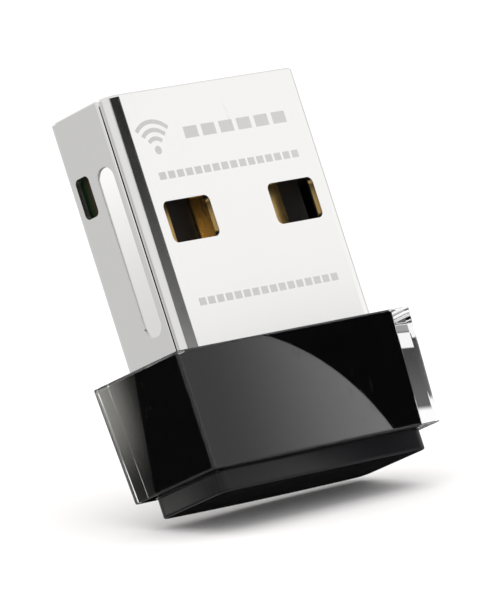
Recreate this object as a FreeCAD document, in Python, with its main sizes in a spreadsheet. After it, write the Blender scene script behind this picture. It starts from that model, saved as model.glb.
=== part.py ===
"""Nano USB Wi-Fi adapter as separate named sub-parts.

Frame: X runs across the plug's wide face, -Y is the front, +Z points to the plug's tip.
The origin is the middle of the flat end face. Lengths are in millimetres.
"""
import math
import os
import re

import FreeCAD
import Part
import Sketcher

SIZES = [
    # name, value, what it is
    ("plug_width", 12.0, "plug shell outside, along X"),
    ("plug_depth", 4.5, "plug shell outside, along Y"),
    ("plug_reach", 12.1, "plug shell outside the cover, along Z"),
    ("root_gap", 0.4, "from the end cap's ring to the plug shell's root"),
    ("plug_corner", 0.8, "outside corner radius of the plug shell"),
    ("sheet", 0.3, "thickness of the plug shell's steel"),
    ("mouth_bevel", 0.08, "bevel round the plug's mouth"),
    ("window_width", 2.85, "latch window in the wide faces"),
    ("window_height", 1.95, "latch window, along Z"),
    ("window_corner", 0.3, "corner radius of a latch window"),
    ("window_spacing", 6.48, "between the centres of the two windows"),
    ("window_drop", 5.22, "from the plug's tip to a window's upper edge"),
    ("slot_width", 0.94, "side slot, along Y"),
    ("slot_height", 1.9, "side slot, along Z"),
    ("slot_corner", 0.25, "corner radius of the side slot"),
    ("slot_offset", 0.95, "side slot's centre behind the plug's centre"),
    ("slot_drop", 2.85, "from the plug's tip to the slot's upper edge"),
    ("groove_width", 1.16, "pressed groove in the narrow faces, along Y"),
    ("groove_length", 8.05, "pressed groove, along Z"),
    ("groove_depth", 0.08, "depth of the pressed groove"),
    ("groove_offset", 0.63, "groove's centre in front of the plug's centre"),
    ("groove_drop", 2.88, "from the plug's tip to the groove's upper end"),
    ("seam_gap", 0.07, "gap where the folded sheet's edges meet"),
    ("seam_offset", 0.62, "from the front face to the seam"),
    ("seam_notch", 0.28, "corner cut off the sheet at the seam"),
    ("tab_width", 1.0, "solder tab at the root of the shell, along Y"),
    ("tab_length", 1.1, "solder tab, along Z"),
    ("cover_height", 5.5, "black core and clear jacket, along Z"),
    ("core_side_rim", 0.43, "core wall on the narrow sides, at the plug end"),
    ("core_face_rim", 0.38, "core wall on the wide sides, at the plug end"),
    ("core_side_end", 0.23, "core wall on the narrow sides, at the cap end"),
    ("core_face_end", 0.23, "core wall on the wide sides, at the cap end"),
    ("jacket_side", 0.8, "jacket wall on the narrow sides"),
    ("jacket_face", 0.35, "jacket wall on the wide sides"),
    ("jacket_gap", 0.02, "clearance between core and jacket"),
    ("jacket_bevel", 0.08, "bevel round the jacket's two ends"),
    ("jacket_corner", 0.12, "vertical corner radius of the jacket"),
    ("core_bevel", 0.08, "bevel round the core's two ends"),
    ("core_corner", 0.45, "vertical corner radius of the core"),
    ("plug_gap", 0.05, "clearance between core and plug shell"),
    ("cap_height", 1.0, "end cap below the cover"),
    ("cap_side_lip", 0.4, "end cap beyond the core's hole, narrow sides"),
    ("cap_face_lip", 0.0, "end cap beyond the core's hole, wide sides"),
    ("cap_bulge", 0.35, "how far the cap's back edge curves out"),
    ("cap_corner", 0.45, "vertical corner radius of the end cap"),
    ("cap_edge", 0.12, "bevel at the cap's end face"),
    ("spigot_height", 0.8, "ring of the end cap inside the core"),
    ("spigot_wall", 0.55, "wall of that ring"),
    ("spigot_gap", 0.05, "clearance between ring and core"),
    ("board_thick", 0.75, "circuit board"),
    ("board_gap", 0.1, "clearance behind the board and its tape"),
    ("board_side_gap", 0.3, "board's clearance to the shell's narrow walls"),
    ("board_top_gap", 0.7, "from the plug's tip to the board's end"),
    ("board_end_gap", 0.15, "from the ring to the board's lower end"),
    ("tape_thick", 0.05, "insulating tape behind the board"),
    ("carrier_thick", 1.6, "contact carrier, along Y"),
    ("carrier_length", 7.4, "contact carrier, along Z"),
    ("carrier_top_gap", 0.5, "from the plug's tip to the carrier"),
    ("carrier_bevel", 0.35, "lead-in bevel at the carrier's front edge"),
    ("channel_depth", 0.1, "channel in the carrier for a contact"),
    ("channel_gap", 0.04, "a contact's clearance in its channel"),
    ("contact_width", 1.0, "gold contact, along X"),
    ("contact_thick", 0.25, "gold contact's strip"),
    ("contact_foot", 0.8, "foot soldered to the board, along Z"),
    ("power_length", 6.9, "power and ground contact strip"),
    ("data_length", 5.9, "data contact strip, which mates later"),
    ("power_spacing", 7.0, "between power and ground contacts"),
    ("data_spacing", 2.0, "between the two data contacts"),
    ("solder_height", 0.12, "solder beside a foot"),
    ("chip_side", 4.0, "radio chip, both ways"),
    ("chip_thick", 0.85, "radio chip, along Y"),
    ("chip_x", -2.3, "radio chip's centre"),
    ("chip_drop", 2.97, "from the contact feet to the radio chip's centre"),
    ("lead_width", 0.22, "terminal of the radio chip"),
    ("lead_length", 0.35, "terminal of the radio chip"),
    ("lead_thick", 0.03, "terminal of the radio chip"),
    ("lead_pitch", 0.4, "between terminals"),
    ("crystal_width", 2.5, "crystal, along X"),
    ("crystal_length", 2.0, "crystal, along Z"),
    ("crystal_thick", 0.6, "crystal, along Y"),
    ("crystal_x", 2.5, "crystal's centre"),
    ("crystal_drop", 2.0, "from the contact feet to the crystal's centre"),
    ("lid_inset", 0.15, "crystal lid inside its ceramic base"),
    ("regulator_width", 1.6, "regulator body, along X"),
    ("regulator_length", 1.6, "regulator body, along Z"),
    ("regulator_thick", 0.75, "regulator body, along Y"),
    ("regulator_x", 2.2, "regulator's centre"),
    ("regulator_drop", 4.3, "from the contact feet to the regulator's centre"),
    ("leg_reach", 0.35, "regulator leg beyond its body"),
    ("leg_width", 0.3, "regulator leg"),
    ("leg_pitch", 0.57, "between the regulator's legs"),
    ("inductor_side", 1.6, "power inductor, both ways"),
    ("inductor_thick", 0.9, "power inductor, along Y"),
    ("inductor_x", 4.6, "inductor's centre"),
    ("inductor_drop", 4.1, "from the contact feet to the inductor's centre"),
    ("small_long", 1.0, "small passive part's length"),
    ("small_wide", 0.5, "small passive part's width"),
    ("small_thick", 0.4, "small passive part's height"),
    ("small_pitch", 1.4, "between the capacitors below the chip"),
    ("small_pair", 1.5, "between the crystal's capacitors, and between the resistors"),
    ("small_below", 0.4, "from the chip's lower edge to its capacitors' centres"),
    ("small_above", 0.45, "from the chip's or crystal's upper edge to the row above it"),
    ("led_long", 1.6, "status lamp, along X"),
    ("led_wide", 0.8, "status lamp, along Z"),
    ("led_thick", 0.6, "status lamp, along Y"),
    ("led_x", 4.0, "status lamp's centre"),
    ("led_rise", 1.1, "from the board's lower end to the status lamp's centre"),
    ("trace_width", 0.25, "antenna's copper strip"),
    ("trace_gap", 0.3, "between the antenna's runs"),
    ("trace_thick", 0.04, "antenna's copper"),
    ("trace_run", 6.0, "longest straight run of the antenna"),
    ("trace_x", -4.9, "antenna's left end"),
    ("trace_rise", 0.1, "from the board's lower end to the antenna"),
]
NAMES = {name for name, value, meaning in SIZES}

TERMINALS_PER_SIDE = 9
ANTENNA_RUNS = 2

# Places that follow from the sizes above, as expressions in those names.
RIM = "(cap_height + cover_height)"
TIP = "(cap_height + cover_height + plug_reach)"
ROOT = "(cap_height + spigot_height + root_gap)"
INNER_WIDTH = "(plug_width - 2 * sheet)"
INNER_DEPTH = "(plug_depth - 2 * sheet)"
TAPE_BACK = "(plug_depth / 2 - sheet - board_gap / 2)"
BOARD_BACK = f"({TAPE_BACK} - tape_thick)"
BOARD_FRONT = f"({BOARD_BACK} - board_thick)"
HOLE_WIDTH = "(plug_width + 2 * plug_gap)"
HOLE_DEPTH = "(plug_depth + 2 * plug_gap)"
CAP_WIDTH = f"({HOLE_WIDTH} + 2 * cap_side_lip)"
CAP_DEPTH = f"({HOLE_DEPTH} + 2 * cap_face_lip)"
BOARD_WIDTH = f"({INNER_WIDTH} - 2 * board_side_gap)"
BOARD_END = "(cap_height + spigot_height + board_end_gap)"
CARRIER_TOP = f"({TIP} - carrier_top_gap)"
CARRIER_END = f"({CARRIER_TOP} - carrier_length)"
CARRIER_FRONT = f"({BOARD_FRONT} - carrier_thick)"
CHANNEL_FLOOR = f"({CARRIER_FRONT} + channel_depth)"
CONTACT_FACE = f"({CHANNEL_FLOOR} - contact_thick)"
CONTACT_END = f"({CARRIER_END} - channel_gap - contact_thick)"
FEET = f"({CONTACT_END} - contact_foot)"
CHIP_UP = f"({FEET} - chip_drop)"
CRYSTAL_UP = f"({FEET} - crystal_drop)"
REGULATOR_UP = f"({FEET} - regulator_drop)"
INDUCTOR_UP = f"({FEET} - inductor_drop)"
TRACE_UP = f"({BOARD_END} + trace_rise)"

doc = FreeCAD.newDocument("usb_wifi_adapter")


def sized(text):
    """The expression with each size name turned into its spreadsheet cell."""
    return re.sub(r"[a-z_]+", lambda m: "sizes." + m[0] if m[0] in NAMES else m[0], text)


def bind(item, prop, text):
    item.setExpression(prop, sized(text))


def make_sheet():
    sheet = doc.addObject("Spreadsheet::Sheet", "sizes")
    for row, (name, value, meaning) in enumerate(SIZES, start=1):
        sheet.set(f"A{row}", meaning)
        sheet.set(f"B{row}", str(value))
        sheet.setAlias(f"B{row}", name)
    doc.recompute()


def new_body(label):
    body = doc.addObject("PartDesign::Body", label)
    body.Label = label
    return body


def origin_plane(body, role):
    return next(item for item in body.Origin.OriginFeatures if item.Role == role)


def new_sketch(body, name, role="XY_Plane", level="0"):
    """An empty sketch on one of the body's own origin planes, moved along its normal."""
    sketch = body.newObject("Sketcher::SketchObject", f"{body.Name}_{name}")
    sketch.AttachmentSupport = (origin_plane(body, role), [""])
    sketch.MapMode = "FlatFace"
    bind(sketch, "AttachmentOffset.Base.z", level)
    return sketch


def place_point(sketch, geometry, end, across, along):
    """Fix one end of a sketch line or arc at a place given by two expressions."""
    point = sketch.getPoint(geometry, end)
    for kind, text, value in (("DistanceX", across, point.x), ("DistanceY", along, point.y)):
        index = sketch.addConstraint(Sketcher.Constraint(kind, geometry, end, value))
        sketch.renameConstraint(index, f"{kind}{geometry}")
        bind(sketch, f"Constraints.{kind}{geometry}", text)


def current(text):
    """The number that an expression has now, used to draw a sketch before it is bound."""
    return float(doc.sizes.evalExpression(sized(text)))


def polygon(body, name, corners, role="XY_Plane", level="0"):
    """A closed outline of straight lines whose corners are pairs of expressions."""
    sketch = new_sketch(body, name, role, level)
    add_loop(sketch, corners)
    return sketch


def add_loop(sketch, corners):
    points = [FreeCAD.Vector(current(across), current(along), 0) for across, along in corners]
    first = sketch.GeometryCount
    count = len(points)
    for step in range(count):
        sketch.addGeometry(Part.LineSegment(points[step], points[(step + 1) % count]), False)
    for step in range(count):
        sketch.addConstraint(Sketcher.Constraint("Coincident", first + step, 2,
                                                 first + (step + 1) % count, 1))
    for step, (across, along) in enumerate(corners):
        place_point(sketch, first + step, 1, across, along)


def rectangle(left, right, low, high):
    return [(left, low), (right, low), (right, high), (left, high)]


def pad(body, sketch, length):
    feature = body.newObject("PartDesign::Pad", f"{sketch.Name}_pad")
    feature.Profile = sketch
    bind(feature, "Length", length)
    doc.recompute()
    return feature


def loft(body, kind, sections):
    """Straight-sided loft through sketches; kind is Additive or Subtractive."""
    feature = body.newObject(f"PartDesign::{kind}Loft", f"{sections[0].Name}_loft")
    feature.Profile = sections[0]
    feature.Sections = sections[1:]
    feature.Ruled = True
    doc.recompute()
    return feature


def cut_through(body, sketch):
    """A pocket through everything, both ways from its sketch."""
    feature = body.newObject("PartDesign::Pocket", f"{sketch.Name}_cut")
    feature.Profile = sketch
    feature.Type = "ThroughAll"
    feature.Midplane = True
    doc.recompute()
    return feature


def cut(body, sketch, depth, reversed_way=False):
    feature = body.newObject("PartDesign::Pocket", f"{sketch.Name}_cut")
    feature.Profile = sketch
    feature.Reversed = reversed_way
    bind(feature, "Length", depth)
    doc.recompute()
    return feature


def edges_where(feature, test):
    """Names of the feature's edges whose two ends pass the test."""
    return [f"Edge{index}" for index, edge in enumerate(feature.Shape.Edges, start=1)
            if len(edge.Vertexes) == 2 and test(edge.Vertexes[0].Point, edge.Vertexes[1].Point)]


def finish_edges(body, kind, base, edges, size):
    """Fillet (size is a Radius) or chamfer (size is a Size) on named edges of a feature."""
    if not edges:
        raise RuntimeError(f"{body.Label}: no edge to finish after {base.Label}")
    feature = body.newObject(f"PartDesign::{kind}", f"{base.Name}_{kind.lower()}")
    feature.Base = (base, edges)
    bind(feature, "Radius" if kind == "Fillet" else "Size", size)
    doc.recompute()
    return feature


def near(first, second):
    return abs(first - second) < 1e-4


def upright(first, second):
    return near(first.x, second.x) and near(first.y, second.y)


def along_y(first, second):
    return near(first.x, second.x) and near(first.z, second.z)


def along_x(first, second):
    return near(first.y, second.y) and near(first.z, second.z)


def block(label, low, size):
    """A Part::Box whose lowest corner and size are three expressions each."""
    box = doc.addObject("Part::Box", label)
    box.Label = label
    for prop, text in zip(("Length", "Width", "Height"), size):
        bind(box, prop, text)
    for axis, text in zip("xyz", low):
        bind(box, f"Placement.Base.{axis}", text)
    return box


def on_board(label, across, up, width, length, thick, lift="0"):
    """A block standing on the board's front face, centred at a place along X and Z."""
    low = (f"{across} - ({width}) / 2", f"{BOARD_FRONT} - ({thick}) - ({lift})",
           f"{up} - ({length}) / 2")
    return block(label, low, (width, thick, length))


def group(label, items):
    compound = doc.addObject("Part::Compound", label)
    compound.Label = label
    compound.Links = items
    return compound


def plug_shell():
    """Folded steel shell: a rounded tube with windows, side slots, grooves, seam and tabs."""
    body = new_body("plug_shell")
    outside = rounded_rectangle(body, "outside", "plug_width", "plug_depth", "plug_corner", ROOT)
    tube = pad(body, outside, f"{TIP} - {ROOT}")
    tip = current(TIP)
    mouth = edges_where(tube, lambda a, b: near(a.z, tip) and near(b.z, tip))
    finish_edges(body, "Chamfer", tube, mouth[:1], "mouth_bevel")
    inside = rounded_rectangle(body, "inside", INNER_WIDTH, INNER_DEPTH, "plug_corner - sheet", TIP)
    cut_through(body, inside)
    cut_windows(body)
    cut_side_slots(body)
    cut_seam(body)
    cut_tabs(body)
    press_grooves(body)
    return body


def cut_windows(body):
    """The two latch windows, through both wide faces."""
    sketch = new_sketch(body, "windows", "XZ_Plane")
    top = f"({TIP} - window_drop)"
    for side in ("-", ""):
        middle = f"{side}window_spacing / 2"
        add_loop(sketch, rectangle(f"{middle} - window_width / 2", f"{middle} + window_width / 2",
                                   f"{top} - window_height", top))
    hole = cut_through(body, sketch)
    span = (current("window_spacing") - current("window_width")) / 2
    jambs = (span, span + current("window_width"))
    top_now = current(top)
    levels = (top_now, top_now - current("window_height"))
    corners = edges_where(hole, lambda a, b: along_y(a, b)
                          and any(near(abs(a.x), jamb) for jamb in jambs)
                          and any(near(a.z, level) for level in levels))
    finish_edges(body, "Fillet", hole, corners, "window_corner")


def cut_side_slots(body):
    """A short slot towards the back of each narrow face."""
    top = f"({TIP} - slot_drop)"
    sketch = polygon(body, "slots", rectangle("slot_offset - slot_width / 2",
                                              "slot_offset + slot_width / 2",
                                              f"{top} - slot_height", top), "YZ_Plane")
    hole = cut_through(body, sketch)
    top_now = current(top)
    levels = (top_now, top_now - current("slot_height"))
    corners = edges_where(hole, lambda a, b: along_x(a, b)
                          and near(abs(a.y - current("slot_offset")), current("slot_width") / 2)
                          and any(near(a.z, level) for level in levels))
    finish_edges(body, "Fillet", hole, corners, "slot_corner")


def cut_seam(body):
    """The slit where the folded sheet's edges meet, with one corner cut off at the mouth."""
    front = "(-plug_depth / 2 + seam_offset)"
    slit = polygon(body, "seam", rectangle("-plug_width / 2 - sheet", "-plug_width / 2 + 3 * sheet",
                                           f"{front} - seam_gap / 2", f"{front} + seam_gap / 2"),
                   level=TIP)
    cut_through(body, slit)
    notch = polygon(body, "notch", [(f"{front} - seam_gap / 2", f"{TIP} - seam_notch"),
                                    (f"{front} + seam_gap / 2", f"{TIP} - seam_notch"),
                                    (f"{front} + seam_notch", f"{TIP}"),
                                    (f"{front} + seam_notch", f"{TIP} + sheet"),
                                    (f"{front} - seam_gap / 2", f"{TIP} + sheet")],
                    "YZ_Plane", "-plug_width / 2 - sheet")
    cut(body, notch, "3 * sheet", reversed_way=True)


def cut_tabs(body):
    """Cut the root of the shell back to one solder tab on each side."""
    sketch = new_sketch(body, "tabs", "YZ_Plane")
    middle = f"({BOARD_FRONT} - tab_width / 2)"
    low = f"{ROOT} - sheet"
    high = f"{ROOT} + tab_length"
    add_loop(sketch, rectangle("-plug_depth", f"{middle} - tab_width / 2", low, high))
    add_loop(sketch, rectangle(f"{middle} + tab_width / 2", "plug_depth", low, high))
    cut_through(body, sketch)


def press_grooves(body):
    """The shallow round-ended groove in each narrow face."""
    top = f"({TIP} - groove_drop)"
    outline = rectangle("-groove_offset - groove_width / 2", "-groove_offset + groove_width / 2",
                        f"{top} - groove_length", top)
    left = polygon(body, "groove", outline, "YZ_Plane", "-plug_width / 2")
    pressed = cut(body, left, "groove_depth", reversed_way=True)
    top_now = current(top)
    levels = (top_now, top_now - current("groove_length"))
    corners = edges_where(pressed, lambda a, b: along_x(a, b)
                          and near(abs(a.y + current("groove_offset")), current("groove_width") / 2)
                          and any(near(a.z, level) for level in levels))
    rounded = finish_edges(body, "Fillet", pressed, corners, "groove_width / 2 - 0.02")
    mirrored = body.newObject("PartDesign::Mirrored", "grooves_mirrored")
    mirrored.Originals = [pressed, rounded]
    mirrored.MirrorPlane = (origin_plane(body, "YZ_Plane"), [""])
    body.Tip = mirrored
    doc.recompute()


def contact_carrier():
    """Moulded block in the plug with a channel for each contact."""
    body = new_body("contact_carrier")
    half = f"{BOARD_WIDTH} / 2"
    outline = polygon(body, "block", rectangle(f"-{half}", half, CARRIER_FRONT, BOARD_FRONT),
                      level=CARRIER_END)
    solid = pad(body, outline, "carrier_length")
    front, top = current(CARRIER_FRONT), current(CARRIER_TOP)
    lead_in = edges_where(solid, lambda a, b: near(a.y, front) and near(b.y, front)
                          and near(a.z, top) and near(b.z, top))
    finish_edges(body, "Chamfer", solid, lead_in, "carrier_bevel")
    sketch = new_sketch(body, "channels", "XY_Plane", CARRIER_END)
    for middle in CONTACT_PLACES.values():
        reach = "(contact_width / 2 + channel_gap)"
        add_loop(sketch, rectangle(f"{middle} - {reach}", f"{middle} + {reach}",
                                   f"{CARRIER_FRONT} - sheet", CHANNEL_FLOOR))
    cut_through(body, sketch)
    return body


CONTACT_PLACES = {
    "power_contact": "power_spacing / 2",
    "data_minus_contact": "data_spacing / 2",
    "data_plus_contact": "-data_spacing / 2",
    "ground_contact": "-power_spacing / 2",
}


def contact(label):
    """Gold strip along its channel, bent down at the carrier's end to a foot on the board."""
    length = "data_length" if label.startswith("data") else "power_length"
    inner = f"({CONTACT_END} + contact_thick)"
    profile = [(CONTACT_FACE, CONTACT_END), (f"{BOARD_FRONT} - contact_thick", CONTACT_END),
               (f"{BOARD_FRONT} - contact_thick", FEET), (BOARD_FRONT, FEET),
               (BOARD_FRONT, inner), (CHANNEL_FLOOR, inner),
               (CHANNEL_FLOOR, f"{inner} + {length}"), (CONTACT_FACE, f"{inner} + {length}")]
    body = new_body(label)
    sketch = polygon(body, "profile", profile, "YZ_Plane", f"{CONTACT_PLACES[label]} - contact_width / 2")
    pad(body, sketch, "contact_width")
    return body


def contact_solder_joints():
    """A wedge of solder at the end of each contact's foot."""
    items = []
    for label, middle in CONTACT_PLACES.items():
        joint = doc.addObject("Part::Wedge", f"{label}_solder")
        bind(joint, "Xmin", "0")
        bind(joint, "Xmax", "contact_width")
        bind(joint, "X2min", "0")
        bind(joint, "X2max", "contact_width")
        bind(joint, "Ymin", "0")
        bind(joint, "Ymax", "contact_thick / 2")
        bind(joint, "Zmin", "0")
        bind(joint, "Zmax", "solder_height")
        bind(joint, "Z2min", "0")
        bind(joint, "Z2max", "solder_height / 2")
        joint.Placement.Rotation = FreeCAD.Rotation(FreeCAD.Vector(1, 0, 0), 180)
        bind(joint, "Placement.Base.x", f"{middle} - contact_width / 2")
        bind(joint, "Placement.Base.y", BOARD_FRONT)
        bind(joint, "Placement.Base.z", FEET)
        items.append(joint)
    return group("contact_solder_joints", items)


def circuit_board():
    half = f"{BOARD_WIDTH} / 2"
    body = new_body("circuit_board")
    outline = polygon(body, "outline", rectangle(f"-{half}", half, BOARD_FRONT, BOARD_BACK),
                      level=BOARD_END)
    solid = pad(body, outline, f"{TIP} - board_top_gap - {BOARD_END}")
    corners = edges_where(solid, along_y)
    finish_edges(body, "Fillet", solid, corners, "board_gap * 3")
    return body


def insulation_tape():
    half = f"({BOARD_WIDTH} / 2 - board_gap)"
    low = f"({ROOT} + tab_length)"
    return block("insulation_tape", (f"-{half}", BOARD_BACK, low),
                 (f"2 * {half}", "tape_thick", f"{TIP} - board_top_gap - {low} - board_gap"))


def shell_solder_joints():
    """Solder that ties each tab to the edge of the board's front face."""
    items = []
    for side, low_x in (("left", f"-{INNER_WIDTH} / 2"), ("right", f"{INNER_WIDTH} / 2 - tab_width / 2")):
        items.append(block(f"{side}_tab_solder",
                           (low_x, f"{BOARD_FRONT} - solder_height * 2", f"{ROOT} + solder_height"),
                           ("tab_width / 2", "solder_height * 2", "tab_length - solder_height * 2")))
    return group("shell_solder_joints", items)


def wifi_chip():
    body = new_body("wifi_chip")
    low = f"({BOARD_FRONT} - lead_thick - chip_thick)"
    outline = polygon(body, "outline", rectangle("chip_x - chip_side / 2", "chip_x + chip_side / 2",
                                                 low, f"{low} + chip_thick"),
                      level=f"{CHIP_UP} - chip_side / 2")
    solid = pad(body, outline, "chip_side")
    face = current(low)
    rim = edges_where(solid, lambda a, b: near(a.y, face) and near(b.y, face))
    finish_edges(body, "Chamfer", solid, rim, "lead_thick * 2")
    return body


def chip_terminals():
    """Rows of flat terminals under all four edges of the radio chip."""
    items = []
    reach = "(chip_side / 2 - lead_length / 2 + lead_thick)"
    for step in range(TERMINALS_PER_SIDE):
        shift = f"({step - (TERMINALS_PER_SIDE - 1) / 2} * lead_pitch)"
        for sign in ("-", "+"):
            items.append(on_board(f"side_lead_{step}", f"chip_x {sign} {reach}", f"{CHIP_UP} + {shift}",
                                  "lead_length", "lead_width", "lead_thick"))
            items.append(on_board(f"end_lead_{step}", f"chip_x + {shift}", f"{CHIP_UP} {sign} {reach}",
                                  "lead_width", "lead_length", "lead_thick"))
    return group("chip_terminals", items)


def crystal_base():
    return on_board("crystal_base", "crystal_x", CRYSTAL_UP, "crystal_width", "crystal_length",
                    "crystal_thick / 2")


def crystal_lid():
    return on_board("crystal_lid", "crystal_x", CRYSTAL_UP, "crystal_width - 2 * lid_inset",
                    "crystal_length - 2 * lid_inset", "crystal_thick / 2", "crystal_thick / 2")


def voltage_regulator():
    return on_board("voltage_regulator", "regulator_x", REGULATOR_UP, "regulator_width",
                    "regulator_length", "regulator_thick")


def regulator_legs():
    """Three legs on one side of the regulator and two on the other."""
    items = []
    reach = "(regulator_width / 2 + leg_reach / 2)"
    for sign, steps in (("-", (-1, 0, 1)), ("+", (-1, 1))):
        for step in steps:
            items.append(on_board("regulator_leg", f"regulator_x {sign} {reach}",
                                  f"{REGULATOR_UP} + {step} * leg_pitch",
                                  "leg_reach", "leg_width", "leg_width / 2"))
    return group("regulator_legs", items)


def power_inductor():
    return on_board("power_inductor", "inductor_x", INDUCTOR_UP, "inductor_side", "inductor_side",
                    "inductor_thick")


def small_parts(label, places):
    """Small two-ended parts, each lying along X, centred at the places given."""
    return group(label, [on_board(f"{label}_item", across, up, "small_long", "small_wide", "small_thick")
                         for across, up in places])


def decoupling_capacitors():
    below = f"({CHIP_UP} - chip_side / 2 - small_below)"
    return small_parts("decoupling_capacitors",
                       [(f"chip_x + {step} * small_pitch", below) for step in (-1, 0, 1)])


def crystal_capacitors():
    above = f"({CRYSTAL_UP} + crystal_length / 2 + small_above)"
    return small_parts("crystal_capacitors",
                       [(f"crystal_x + {step} * small_pair / 2", above) for step in (-1, 1)])


def series_resistors():
    above = f"({CHIP_UP} + chip_side / 2 + small_above)"
    return small_parts("series_resistors",
                       [(f"chip_x + {step} * small_pair", above) for step in (-1, 0, 1)])


def esd_protector():
    return on_board("esd_protector", "crystal_x + crystal_width", CRYSTAL_UP,
                    "small_long", "small_long", "small_thick")


def antenna_trace():
    """Printed meander antenna: runs along X joined at alternate ends."""
    items = [block("antenna_run", ("trace_x", f"{BOARD_FRONT} - trace_thick",
                                   f"{TRACE_UP} + {step} * (trace_width + trace_gap)"),
                   ("trace_run", "trace_thick", "trace_width")) for step in range(ANTENNA_RUNS)]
    for step in range(ANTENNA_RUNS - 1):
        start = "trace_x" if step % 2 else "trace_x + trace_run - trace_width"
        items.append(block("antenna_link", (start, f"{BOARD_FRONT} - trace_thick",
                                            f"{TRACE_UP} + {step} * (trace_width + trace_gap) + trace_width"),
                           ("trace_width", "trace_thick", "trace_gap")))
    fuse = doc.addObject("Part::MultiFuse", "antenna_trace")
    fuse.Label = "antenna_trace"
    fuse.Shapes = items
    return fuse


def status_led():
    return on_board("status_led", "led_x", f"{BOARD_END} + led_rise", "led_long", "led_wide", "led_thick")


def rounded_rectangle(body, name, width, depth, corner, level):
    """Sketch of a centred rectangle with round corners, at a height."""
    sketch = new_sketch(body, name, "XY_Plane", level)
    x_now, y_now, r_now = current(width) / 2, current(depth) / 2, current(corner)
    quarter = math.pi / 2
    for step, (side_x, side_y) in enumerate(((1, 1), (-1, 1), (-1, -1), (1, -1))):
        centre = FreeCAD.Vector(side_x * (x_now - r_now), side_y * (y_now - r_now), 0)
        circle = Part.Circle(centre, FreeCAD.Vector(0, 0, 1), r_now)
        sketch.addGeometry(Part.ArcOfCircle(circle, step * quarter, (step + 1) * quarter), False)
    for step in range(4):
        start, end = sketch.getPoint(step, 2), sketch.getPoint((step + 1) % 4, 1)
        sketch.addGeometry(Part.LineSegment(start, end), False)
    for step in range(4):
        sketch.addConstraint(Sketcher.Constraint("Tangent", step, 2, 4 + step, 1))
        sketch.addConstraint(Sketcher.Constraint("Tangent", 4 + step, 2, (step + 1) % 4, 1))
        index = sketch.addConstraint(Sketcher.Constraint("Radius", step, r_now))
        sketch.renameConstraint(index, f"corner{step}")
        bind(sketch, f"Constraints.corner{step}", corner)
    sides = (("DistanceY", depth, y_now), ("DistanceX", f"-({width})", -x_now),
             ("DistanceY", f"-({depth})", -y_now), ("DistanceX", width, x_now))
    for step, (kind, size, value) in enumerate(sides):
        sketch.addConstraint(Sketcher.Constraint("Vertical" if step % 2 else "Horizontal", 4 + step))
        index = sketch.addConstraint(Sketcher.Constraint(kind, 4 + step, 1, value))
        sketch.renameConstraint(index, f"side{step}")
        bind(sketch, f"Constraints.side{step}", f"({size}) / 2")
    return sketch


def cover_sections(body, name, wall_x, wall_y, corner, bevel):
    """Outlines the given walls outside the tapered core, bevelled at both ends."""
    sections = []
    for place, level, inset in (("end", "cap_height", bevel),
                                ("end", f"cap_height + {bevel}", "0"),
                                ("rim", f"{RIM} - {bevel}", "0"), ("rim", RIM, bevel)):
        shrink = f"2 * ({inset})"
        sections.append(rounded_rectangle(
            body, f"{name}{len(sections)}",
            f"{HOLE_WIDTH} + 2 * core_side_{place} + 2 * ({wall_x}) - {shrink}",
            f"{HOLE_DEPTH} + 2 * core_face_{place} + 2 * ({wall_y}) - {shrink}", corner, level))
    return sections


def cover_core():
    """Glossy black inner cover: a tapered tube that holds the plug shell."""
    body = new_body("cover_core")
    loft(body, "Additive", cover_sections(body, "outside", "0", "0", "core_corner", "core_bevel"))
    hole = rounded_rectangle(body, "hole", HOLE_WIDTH, HOLE_DEPTH, "plug_corner + plug_gap", RIM)
    cut_through(body, hole)
    return body


def clear_jacket():
    """Clear outer sleeve round the black core."""
    body = new_body("clear_jacket")
    loft(body, "Additive", cover_sections(body, "outside", "jacket_gap + jacket_side",
                                          "jacket_gap + jacket_face", "jacket_corner", "jacket_bevel"))
    inside = cover_sections(body, "inside", "jacket_gap", "jacket_gap", "core_corner", "0")
    loft(body, "Subtractive", [inside[0], inside[-1]])
    return body


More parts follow.
